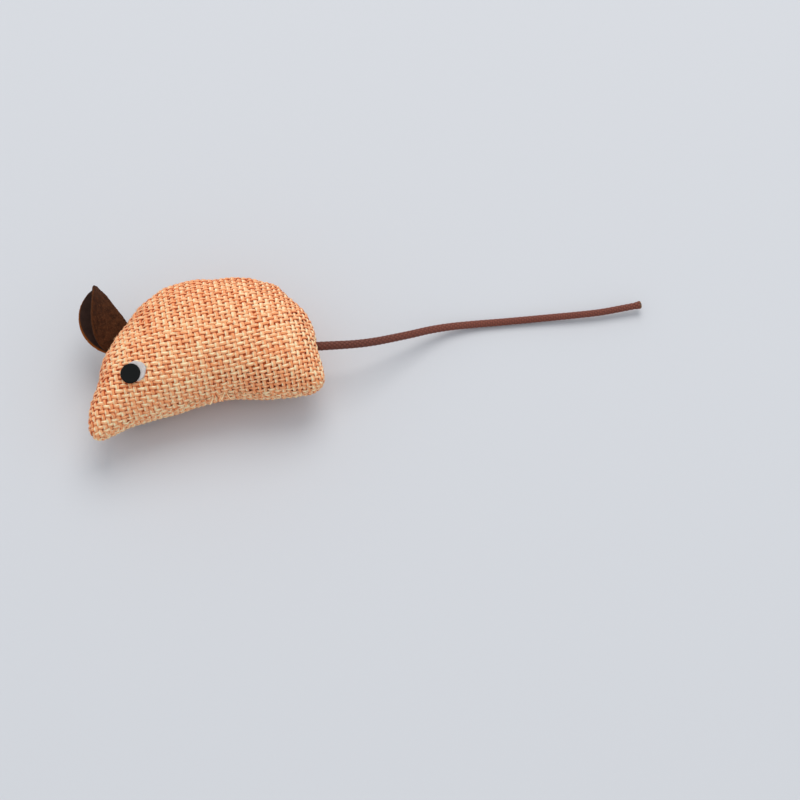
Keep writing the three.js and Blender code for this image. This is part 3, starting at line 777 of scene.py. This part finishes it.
# Sewing thread
# Plied tan thread. A lockstitch holds the turned-in edges together inside, and ladder
# stitches pulled tight close the gap in the belly through which the mouse was stuffed.
THREAD_RADIUS = 0.2 * MM
THREAD_SIDES = 6
THREAD_INSET = 2.2 * MM  # the lockstitch runs this far inside the seam's fold
THREAD_RISE = 1.55 * MM  # and this far above or below the fold
THREAD_POINTS = 260
LOCKSTITCH_LENGTH = 2.4 * MM
LOCKSTITCH_WAVE = 0.1 * MM
CLOSING_MIDDLE = between(chin, lower_rump, 0.58)
CLOSING_LENGTH = 22 * MM
CLOSING_STITCHES = 9
STITCH_RISE = 0.5 * MM
STITCH_SUNK = 0.35 * MM  # pulled tight, the stitches lie this far in the fold


def sewing_thread(piece):
    """Tan thread of twisted plies."""
    finish = Finish("sewing_thread", Roughness=0.6, Sheen_Weight=0.2)
    grain = finish.mark("grain", "Vector")
    plies = finish.node(
        "ShaderNodeTexWave",
        {"bands_direction": "DIAGONAL"},
        {"Vector": grain, "Scale": 1.6, "Distortion": 0.5},
    )
    fluff = finish.noise(grain, scale=4)
    colour = finish.mix(plies * 0.7 + fluff * 0.3, paint(168, 112, 66), paint(226, 176, 122))
    finish.wear(piece, Base_Color=colour, Normal=finish.bump(plies, 0.06 * MM))


def raised(flat, height):
    """Points of a flat line lifted to a height, or each to its own."""
    return np.column_stack([flat, np.broadcast_to(height, len(flat))])


closing_half = CLOSING_LENGTH / 2 / seam_length
sewn_from, sewn_to = CLOSING_MIDDLE + closing_half, CLOSING_MIDDLE + 1 - closing_half
sewn = np.linspace(sewn_from, sewn_to, THREAD_POINTS)
straight_up = np.array([0, 0, 1])
for node, side in (("needle_thread", 1), ("bobbin_thread", -1)):
    strands = Strands(THREAD_SIDES)
    stitches = np.sin(sewn * seam_length / LOCKSTITCH_LENGTH * 2 * np.pi) * LOCKSTITCH_WAVE
    height = seam_height + side * (half_gap(sewn) + THREAD_RISE + stitches)
    line = raised(seam_at(sewn, THREAD_INSET), height)
    strands.add(line, straight_up, THREAD_RADIUS, THREAD_RADIUS)
    thread = strands.build(f"{node}_stitches")
    sewing_thread(thread)
    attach(thread, "mouse_body")
    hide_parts(node)

turns = np.arange(2 * CLOSING_STITCHES + 1)
places = between(CLOSING_MIDDLE - closing_half, CLOSING_MIDDLE + closing_half, turns / turns[-1])
heights = seam_height + np.where(turns % 2, 1, -1) * STITCH_RISE
zigzag = raised(seam_at(places, STITCH_SUNK), heights)
strands = Strands(THREAD_SIDES)
strands.add(smooth_line(zigzag, closed=False), (0, -1, 0), THREAD_RADIUS, THREAD_RADIUS)
ladder = strands.build("closing_stitches")
sewing_thread(ladder)
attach(ladder, "mouse_body")
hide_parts("closing_thread")

# A few yarn ends of the cut edges poke out between these stitches.
FRAYED_MIDDLE = between(chin, lower_rump, 0.54)
FRAYED_ENDS = 7
FRAYED_SPREAD = 1.7 * MM  # each way from the middle
FRAYED_LENGTH = 3.3 * MM
FRAYED_ROOT = 1.2 * MM  # how far inside the seam each end starts
FRAYED_POINTS = 9
FRAYED_THICK, FRAYED_THIN = 0.3 * MM, 0.14 * MM  # radius at the root and at the tip
frayed = Strands(YARN_SIDES)
for place in FRAYED_MIDDLE + np.linspace(-1, 1, FRAYED_ENDS) * FRAYED_SPREAD / seam_length:
    root, edge = (np.append(seam_at(place, inset), seam_height) for inset in (FRAYED_ROOT, 0))
    outward = unit(edge - root)
    sideways = np.array([-outward[1], outward[0], 0]) * yarn_luck.uniform(-0.6, 0.6)
    upward = np.array([0, 0, yarn_luck.uniform(0, 0.4)])
    reach = np.linspace(0, yarn_luck.uniform(0.75, 1), FRAYED_POINTS)[:, None] * FRAYED_LENGTH
    line = root + outward * reach + (sideways + upward) * reach**2 / FRAYED_LENGTH
    taper = np.linspace(FRAYED_THICK, FRAYED_THIN, FRAYED_POINTS)
    tone = yarn_luck.uniform(-0.5, 1)
    # lift=1.0 gives the loose ends the painted highlight of a raised float
    frayed.add(line, straight_up, taper, taper, YARN_LUMPS, lift=1.0, tone=tone)
ends = frayed.build("belly_yarn_ends")
burlap_yarn(ends)
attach(ends, "mouse_body")

# Ear
# A disc of dark brown felt folded in half and caught in the seam by its edge. The
# lower leaf lies level, and the upper one springs open towards the rim.
EAR_RADIUS = 10.7 * MM  # the felt disc before folding
EAR_CENTRE_OUT = 3.2 * MM  # the disc's centre outside the seam, along the fold
EAR_REACH = EAR_CENTRE_OUT + EAR_RADIUS
EAR_LEAN = math.radians(24)  # fold line away from square to the seam
EAR_RISE = math.radians(8.5)  # fold line upwards from the seam
EAR_OPEN = math.radians(71)  # between the leaves at the tip; the seam pinches them shut
EAR_SLIT = 0.2 * MM  # between the leaves at the seam
EAR_ROLL = EAR_FELT + EAR_SLIT / 2
EAR_SEWN_IN = 3.5 * MM
EAR_STATIONS = 60
LEAF_POINTS = 18
ROLL_POINTS = 9
TIP_PRESS = 0.6  # the felt is pressed thin where the fold ends
TIP_LENGTH = 4 * MM
FELT_NAP = 0.07 * MM
FELT_GRAIN = 900  # lumps to the metre

ear_pivot = np.array(joints["ear_fold"]["pos_m"])
ear_along = -np.array(joints["ear_fold"]["axis"])
ear_out = np.array([ear_along[1], -ear_along[0], 0])
fold_line = ear_out * math.cos(EAR_LEAN) - ear_along * math.sin(EAR_LEAN)
fold_line = fold_line * math.cos(EAR_RISE) + straight_up * math.sin(EAR_RISE)
leaf_line = ear_along * math.cos(EAR_LEAN) + ear_out * math.sin(EAR_LEAN)
leaf_up = np.cross(fold_line, leaf_line)
fold_base = ear_pivot - ear_along * EAR_BASE / 2


def ear_section(distance):
    """Outer and inner points across the fold, from the lower leaf's rim to the upper one's."""
    width = math.sqrt(max(EAR_RADIUS**2 - (distance - EAR_CENTRE_OUT) ** 2, 0))
    leaf = np.linspace(0, width, LEAF_POINTS)
    from_seam = distance * math.cos(EAR_LEAN) + leaf * math.sin(EAR_LEAN)
    below = np.full(LEAF_POINTS, 1.5 * np.pi)
    above = 0.5 * np.pi + EAR_OPEN * np.maximum(from_seam, 0) / EAR_REACH
    roll = np.linspace(below[0], above[0], ROLL_POINTS)[1:-1]
    reach = np.concatenate([-leaf[::-1], 0 * roll, leaf])
    angle = np.concatenate([below, roll, above])
    start = fold_base + fold_line * distance
    pressed = 1 - TIP_PRESS * ease(distance, EAR_REACH - TIP_LENGTH, EAR_REACH)

    def at(off):
        across = reach * np.sin(angle) + pressed * off * np.cos(angle)
        height = -reach * np.cos(angle) + pressed * off * np.sin(angle)
        return start + across[:, None] * leaf_line + height[:, None] * leaf_up

    return at(EAR_ROLL), at(EAR_SLIT / 2)


def felt(piece):
    """Matted brown felt. Painted shade darkens the inside of the fold under the upper leaf, and a
    painted highlight turns the trimmed edge orange, mostly along the lower leaf's rim.
    """
    finish = Finish("brown_felt", Roughness=1.0, Specular_IOR_Level=0.1)
    place = finish.place()
    mat = finish.noise(place, scale=640, detail=5, roughness=0.7)
    fibres = finish.noise(place, scale=2200, detail=6, roughness=0.75)
    colour = finish.mix(finish.step(mat, 0.3, 0.7), paint(48, 26, 15), paint(80, 46, 27))
    colour = finish.mix(finish.step(fibres, 0.54, 0.7) * 0.7, colour, paint(116, 76, 50))
    # painted shade inside the fold, where the upper leaf covers the lower one
    painted_fold_shade = finish.mix(mat, paint(34, 22, 18), paint(62, 43, 37))
    colour = finish.mix(finish.mark("inside"), colour, painted_fold_shade)
    # painted highlight: the trimmed edge turns orange where it catches the light
    colour = finish.mix(finish.mark("lit_trimmed_edge"), colour, paint(150, 82, 28))
    finish.wear(piece, Base_Color=colour, Normal=finish.bump(mat * 0.5 + fibres * 0.5, 0.25 * MM))


run = np.sin(np.linspace(-0.35, 1, EAR_STATIONS) * np.pi / 2)  # closer together towards the tip
distances = np.interp(run, [run[0], 1], [-EAR_SEWN_IN, EAR_REACH - 0.01 * MM])
sections = [ear_section(distance) for distance in distances]
outer, inner = (np.array([section[part] for section in sections]) for part in (0, 1))
ear = new_piece("felt_ear", *shell(outer, inner, flipped=True))
lit_trimmed_edge = np.zeros((2, *outer.shape[:2]))
lit_trimmed_edge[:, :, 0] = 1
lit_trimmed_edge[:, :, -1] = 0.12  # the painted highlight on the trimmed edge hardly shows along the upper leaf
inside = np.zeros(lit_trimmed_edge.shape)
inside[1] = 1
keep_mark(ear, "lit_trimmed_edge", lit_trimmed_edge.ravel())
keep_mark(ear, "inside", inside.ravel())
felt_luck = np.random.default_rng(5)
for vertex in ear.data.vertices:
    rough = noise.noise(vertex.co * FELT_GRAIN) + felt_luck.uniform(-0.5, 0.5)
    vertex.co += vertex.normal * FELT_NAP * rough
felt(ear)
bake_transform(ear)
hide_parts("ear", "ear_seam_tab")

# Eyes
# A flat black plastic disc on each side of the head, stuck on with a spot of milky
# glue that has spread out past the disc towards the rump.
EYE_RADIUS = 2.6 * MM
EYE_THICKNESS = 0.8 * MM
EYE_SEAT = 0.3 * MM  # from the middle of the cloth out to the disc's underside
EYE_ROUNDING = 0.22 * MM
EYE_DISH = 0.04 * MM  # the face is sunk this much in the middle
GLUE_RADIUS = 2.75 * MM
GLUE_UNDER = 0.7 * MM  # the glue soaks this far into the weave
GLUE_EDGE = 0.3 * MM  # its rounded edge starts this far under the disc
GLUE_SWELL = 0.52 * MM  # and rises this much
GLUE_TOP = 0.24 * MM
FACETS = 64
EYE_SLIP = np.array([-0.3, 0, 0]) * MM  # how far the disc slid in the wet glue
GLUE_RUN = np.array([0.15, -0.6, 0]) * MM  # how far the glue crept


def disc_frame(node, side):
    """Centre of a flat node's underside, and its three directions, the last one outward."""
    points = np.array([vertex.co[:] for vertex in frame["nodes"][node].data.vertices])
    middle = (points.min(axis=0) + points.max(axis=0)) / 2
    axes = np.linalg.svd(points - points.mean(axis=0), full_matrices=False)[2]
    out = axes[2] * np.sign(axes[2][2]) * side
    first = unit(np.cross((0, 1, 0), out))
    under = ((points - middle) @ out).min()
    return middle + out * under, first, np.cross(out, first), out


def turned(name, profile, base, first, second, out, ripple=None):
    """A round piece turned from a profile of radius and height, with a rippled edge if given."""
    around = np.linspace(0, 2 * np.pi, FACETS, endpoint=False)
    stretch = 1 + (ripple(around) if ripple else 0 * around)
    wheel = np.outer(stretch * np.cos(around), first) + np.outer(stretch * np.sin(around), second)
    points = [base + radius * wheel + height * out for radius, height in profile]
    numbers = np.arange(len(profile) * FACETS).reshape(-1, FACETS)
    ahead = np.roll(numbers, -1, axis=1)
    faces = np.stack([numbers[:-1], ahead[:-1], ahead[1:], numbers[1:]], -1).reshape(-1, 4).tolist()
    faces += [numbers[0, ::-1].tolist(), numbers[-1].tolist()]
    return new_piece(name, np.concatenate(points), faces)


def black_plastic(piece):
    """Matt black plastic with fine scuffs."""
    finish = Finish("black_plastic", Specular_IOR_Level=0.1)
    place = finish.place()
    scuffs = finish.noise(place, scale=2400, detail=5, roughness=0.7)
    colour = finish.mix(scuffs, paint(10, 11, 11), paint(23, 24, 23))
    scratches = finish.bump(scuffs, 0.02 * MM)
    finish.wear(piece, Base_Color=colour, Roughness=scuffs * 0.3 + 0.4, Normal=scratches)


def milky_glue(piece):
    """Set glue, cloudy and a little see-through."""
    finish = Finish("milky_glue", Roughness=0.35, Alpha=0.9)
    place = finish.place()
    cloud = finish.noise(place, scale=900, detail=3)
    colour = finish.mix(cloud, paint(178, 170, 168), paint(222, 215, 212))
    finish.wear(piece, Base_Color=colour, Normal=finish.bump(cloud, 0.15 * MM))


def glue_edge(angle):
    """How the glue's outline wavers, as a share of its radius."""
    return 0.03 * np.sin(3 * angle + 0.6) + 0.02 * np.sin(5 * angle) + 0.012 * np.sin(9 * angle + 2)


rounding = np.linspace(0, np.pi / 2, 7)
for name, side in sides.items():
    base, first, second, out = disc_frame(f"eye_{name}", side)
    cloth_points = panels[name].reshape(-1, 3)
    near = np.linalg.norm(cloth_points - base, axis=1) < EYE_RADIUS
    base = base + out * (((cloth_points[near] - base) @ out).mean() + EYE_SEAT) + EYE_SLIP
    profile = [(0.2 * EYE_RADIUS, 0), (EYE_RADIUS - EYE_ROUNDING / 2, 0), (EYE_RADIUS, EYE_ROUNDING / 2)]
    for turn in rounding:
        inward, down = EYE_ROUNDING * (1 - math.cos(turn)), EYE_ROUNDING * (1 - math.sin(turn))
        profile.append((EYE_RADIUS - inward, EYE_THICKNESS - down))
    for share in (0.8, 0.55, 0.3, 0.1):
        profile.append((EYE_RADIUS * share, EYE_THICKNESS - EYE_DISH * (1 - share)))
    eye = turned(f"disc_eye_{name}", profile, base, first, second, out)
    black_plastic(eye)
    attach(eye, "mouse_body")
    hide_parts(f"eye_{name}")

    spot = disc_frame(f"eye_glue_{name}", side)[0]
    spot = spot - out * ((spot - base) @ out) + GLUE_RUN
    profile = [(0.2 * GLUE_RADIUS, -GLUE_UNDER), (0.96 * GLUE_RADIUS, -GLUE_UNDER)]
    for turn in rounding:
        radius = GLUE_RADIUS * (0.93 + 0.07 * math.cos(turn))
        profile.append((radius, GLUE_SWELL * math.sin(turn) - GLUE_EDGE))
    profile += [(GLUE_RADIUS * share, GLUE_TOP) for share in (0.7, 0.4, 0.1)]
    glue = turned(f"glue_spot_{name}", profile, spot, first, second, out, glue_edge)
    milky_glue(glue)
    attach(glue, "mouse_body")
    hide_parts(f"eye_glue_{name}")

# Tail
# A length of brown braided satin cord, sewn into the rear seam, drooping to the table
# and lying along it. Its cut end is sealed with heat, which leaves a small flare.
# Points ahead of the seam and across it in millimetres, with the share of the seam's height.
TAIL_ROUTE = [
    (0, 0, 1), (9.6, -0.8, 0.905), (14.8, -0.2, 0.75), (20, 0.9, 0.575), (25.4, 2.1, 0.4),
    (30.7, 3.3, 0.24), (36.6, 4, 0.1), (43.6, 3.8, 0.02), (51.2, 3, 0), (58.7, 2.1, 0.01),
    (65, 1.3, 0.03), (71.2, 0.5, 0.05), (77.6, -0.1, 0.06), (84, -0.3, 0.08), (88.7, -0.4, 0.1),
]
TAIL_REST = TAIL_RADIUS + TABLE_GAP  # height of the cord's middle where it lies on the table
TAIL_TUCK = 0.8 * MM  # the braid starts this far inside the seam
TAIL_BEND = 5 * MM  # each side of the tail's lift joint
BRAID_STRANDS = 6  # each way round
BRAID_PITCH = 8 * MM  # along the cord for one turn of a strand
BRAID_STEP = 0.2 * MM
BRAID_RADIUS = 0.95 * MM
BRAID_WAVE = 0.08 * MM  # out and in, as strands cross over and under
STRAND_HALF_WIDTH = 0.44 * MM
STRAND_HALF_THICKNESS = 0.19 * MM
STRAND_SIDES = 6
CORE_RADIUS = 0.9 * MM
SLIMMER = 0.18  # the braid is drawn thinner towards its free end
NECKED = 0.08  # and settles thinner past the seam, which spreads it
NECK_LENGTH = 10 * MM
FLARE = 0.2  # the heat that seals the end spreads the last stretch
FLARE_LENGTH = 1.6 * MM

route = np.array([
    tail_exit * (1, 1, 0) + (ahead * MM, across * MM, between(TAIL_REST, seam_height, share))
    for ahead, across, share in TAIL_ROUTE
])
route_line = smooth_line(route, closed=False)
route_run = run_of(route_line)
tail_length = route_run[-1]
tail_run = np.arange(-TAIL_TUCK, tail_length, BRAID_STEP)


def tail_at(run):
    """Points on the tail's middle line, carried on straight before its start."""
    line = np.stack([np.interp(run, route_run, route_line[:, axis]) for axis in range(3)], 1)
    return line + np.minimum(run, 0)[:, None] * unit(route_line[1] - route_line[0])


tail_line = tail_at(tail_run)
tail_heading = unit(np.gradient(tail_line, axis=0))
tail_across = unit(np.cross(straight_up, tail_heading))
tail_lift = np.cross(tail_heading, tail_across)
girth = 1 - SLIMMER * ease(tail_run, 0, tail_length) - NECKED * ease(tail_run, 0, NECK_LENGTH)
girth = girth + FLARE * ease(tail_run, tail_length - FLARE_LENGTH, tail_length)


def satin_cord(piece):
    """Brown satin filaments, painted darker as shade where the strands pass under and on the core,
    lighter where they pass over, and darker near the root.
    """
    finish = Finish("satin_cord", Specular_IOR_Level=0.25)
    grain = finish.mark("grain", "Vector")
    lift = finish.mark("lift")
    stretched = finish.node("ShaderNodeMapping", {}, {"Vector": grain, "Scale": (1.0, 8.0, 8.0)})
    filaments = finish.noise(stretched, scale=1.8, detail=3, roughness=0.6)
    painted_shade_under = finish.mix(filaments, paint(26, 10, 8), paint(64, 28, 22))
    painted_light_over = finish.mix(filaments, paint(89, 39, 30), paint(159, 91, 72))
    # painted light: strands passing over take the lit colour, those passing under the shaded one
    colour = finish.mix(finish.step(lift, -0.8, 0.9), painted_shade_under, painted_light_over)
    # painted shade: darker towards the root, next to the body
    colour = finish.mix((1 - finish.mark("worn")) * 0.32, colour, paint(24, 14, 12))
    relief = finish.bump(filaments, 0.04 * MM)
    finish.wear(piece, Base_Color=colour, Roughness=filaments * 0.3 + 0.35, Normal=relief)


worn = ease(tail_run, 0, tail_length / 2)  # painted shade darkens the cord near its root, fading out halfway along
strands = Strands(STRAND_SIDES)
# the core between the strands takes the painted shade colour
strands.add(tail_line, tail_lift, CORE_RADIUS * girth, CORE_RADIUS * girth, lift=-1.0, worn=worn)
for sense in (1, -1):
    for strand in range(BRAID_STRANDS):
        turn = sense * 2 * np.pi * tail_run / BRAID_PITCH + 2 * np.pi * strand / BRAID_STRANDS
        over = sense * np.cos(BRAID_STRANDS * 2 * np.pi * tail_run / BRAID_PITCH)
        outward = np.cos(turn)[:, None] * tail_across + np.sin(turn)[:, None] * tail_lift
        reach = (BRAID_RADIUS + BRAID_WAVE * over) * girth
        line = tail_line + outward * reach[:, None]
        half_width = STRAND_HALF_WIDTH * girth
        strands.add(line, outward, half_width, STRAND_HALF_THICKNESS, lift=over, worn=worn)
tail = strands.build("braided_tail")
satin_cord(tail)

lift_pivot = np.array(joints["tail_lift"]["pos_m"])
root_heading = unit(lift_pivot - tail_exit)
tail_bend = root_heading * TAIL_BEND
lift_pivot - tail_bend
lift_pivot + tail_bend
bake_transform(tail)
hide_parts("tail_root", "tail_cord")

# The sealed end's profile, as radius and distance past the end in millimetres.
SEALED_END = [
    (0.3, -0.5), (0.85, -0.45), (1.04, -0.1), (1.02, 0.18), (0.85, 0.36), (0.5, 0.44), (0.15, 0.38),
]


def melted_edge(angle):
    """How the melted rim bulges, as a share of its radius."""
    return 0.07 * np.sin(3 * angle + 1) + 0.05 * np.sin(7 * angle)


def melted_cord(piece):
    """Cord melted to a hard bead, dark brown with amber patches painted in as a highlight."""
    finish = Finish("melted_cord", Roughness=0.3)
    place = finish.place()
    bead = finish.noise(place, scale=1500, detail=3)
    # painted highlight: amber where the bead noise is high
    colour = finish.mix(finish.step(bead, 0.45, 0.7), paint(72, 38, 28), paint(168, 116, 48))
    finish.wear(piece, Base_Color=colour, Normal=finish.bump(bead, 0.2 * MM))


sealed = turned(
    "tail_sealed_end",
    np.array(SEALED_END) * MM,
    tail_line[-1],
    tail_across[-1],
    tail_lift[-1],
    tail_heading[-1],
    melted_edge,
)
melted_cord(sealed)
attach(sealed, "tail")
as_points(tail_line[::4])

# Inside the body a short plain stub of the cord is caught under the stitches.
CAUGHT_FROM, CAUGHT_TO = 5 * MM, 1.5 * MM  # inside the seam
CAUGHT_SIDES = 12
CAUGHT_POINTS = 12
sewn_end = Strands(CAUGHT_SIDES)
inside = np.linspace(-CAUGHT_FROM, -CAUGHT_TO, CAUGHT_POINTS)
stub = tail_exit + np.outer(inside, (1, 0, 0))
sewn_end.add(stub, straight_up, TAIL_RADIUS, TAIL_RADIUS, lift=0.0, worn=0.0)
caught = sewn_end.build("tail_caught_end")
satin_cord(caught)
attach(caught, "mouse_body")
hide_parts("tail_seam_end")

# Table, light and camera
# A pale matt table under a broad soft lamp, seen from above the mouse's belly side.
TABLE_SIZE = 6.0
ROOM_COLOUR = (0.905, 0.955, 1.0, 1.0)
ROOM_STRENGTH = 0.8
LAMP_AT = (0.34, 0.74, 1.33)
LAMP_AIM = (0.02, 0, 0)
CAMERA_AIM = (0.0498, -0.02144, 0.0)
CAMERA_DISTANCE = 0.504
CAMERA_AZIMUTH = math.radians(-12.4)
CAMERA_ELEVATION = math.radians(62)

table_top = np.array([(-1, -1), (1, -1), (1, 1), (-1, 1)]) * TABLE_SIZE / 2
table = new_piece("table", np.column_stack([table_top, np.zeros(4)]), [(0, 1, 2, 3)])
table_finish = Finish("table_paint", Roughness=0.8, Specular_IOR_Level=0.2)
table_finish.wear(table, Base_Color=paint(206, 207, 211))
table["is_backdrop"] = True

world = bpy.data.worlds.new("room")
bpy.context.scene.world = world
world.use_nodes = True
world.node_tree.nodes["Background"].inputs["Color"].default_value = ROOM_COLOUR
world.node_tree.nodes["Background"].inputs["Strength"].default_value = ROOM_STRENGTH

lamp = bpy.data.objects.new("softbox", bpy.data.lights.new("softbox", "AREA"))
lamp.data.shape = "DISK"
lamp.data.size = 1.25
lamp.data.energy = 11.4
lamp.data.color = (1.0, 0.965, 0.925)
bpy.context.scene.collection.objects.link(lamp)


def face(thing, place, target):
    """Puts a lamp or camera at a place with its view on the target."""
    thing.location = place
    thing.rotation_euler = (Vector(target) - Vector(place)).to_track_quat("-Z", "Y").to_euler()


face(lamp, LAMP_AT, LAMP_AIM)

camera = bpy.data.objects.new("camera", bpy.data.cameras.new("camera"))
camera.data.lens = 85
camera.data.sensor_width = 36
bpy.context.scene.collection.objects.link(camera)
back = np.array([
    math.sin(CAMERA_AZIMUTH) * math.cos(CAMERA_ELEVATION),
    -math.cos(CAMERA_AZIMUTH) * math.cos(CAMERA_ELEVATION),
    math.sin(CAMERA_ELEVATION),
])
face(camera, np.array(CAMERA_AIM) + CAMERA_DISTANCE * back, CAMERA_AIM)
bpy.context.scene.camera = camera
bpy.context.scene.view_settings.view_transform = "Standard"

dressed_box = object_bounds()
[[list(corner) for corner in box] for box in (solid_box, dressed_box)]
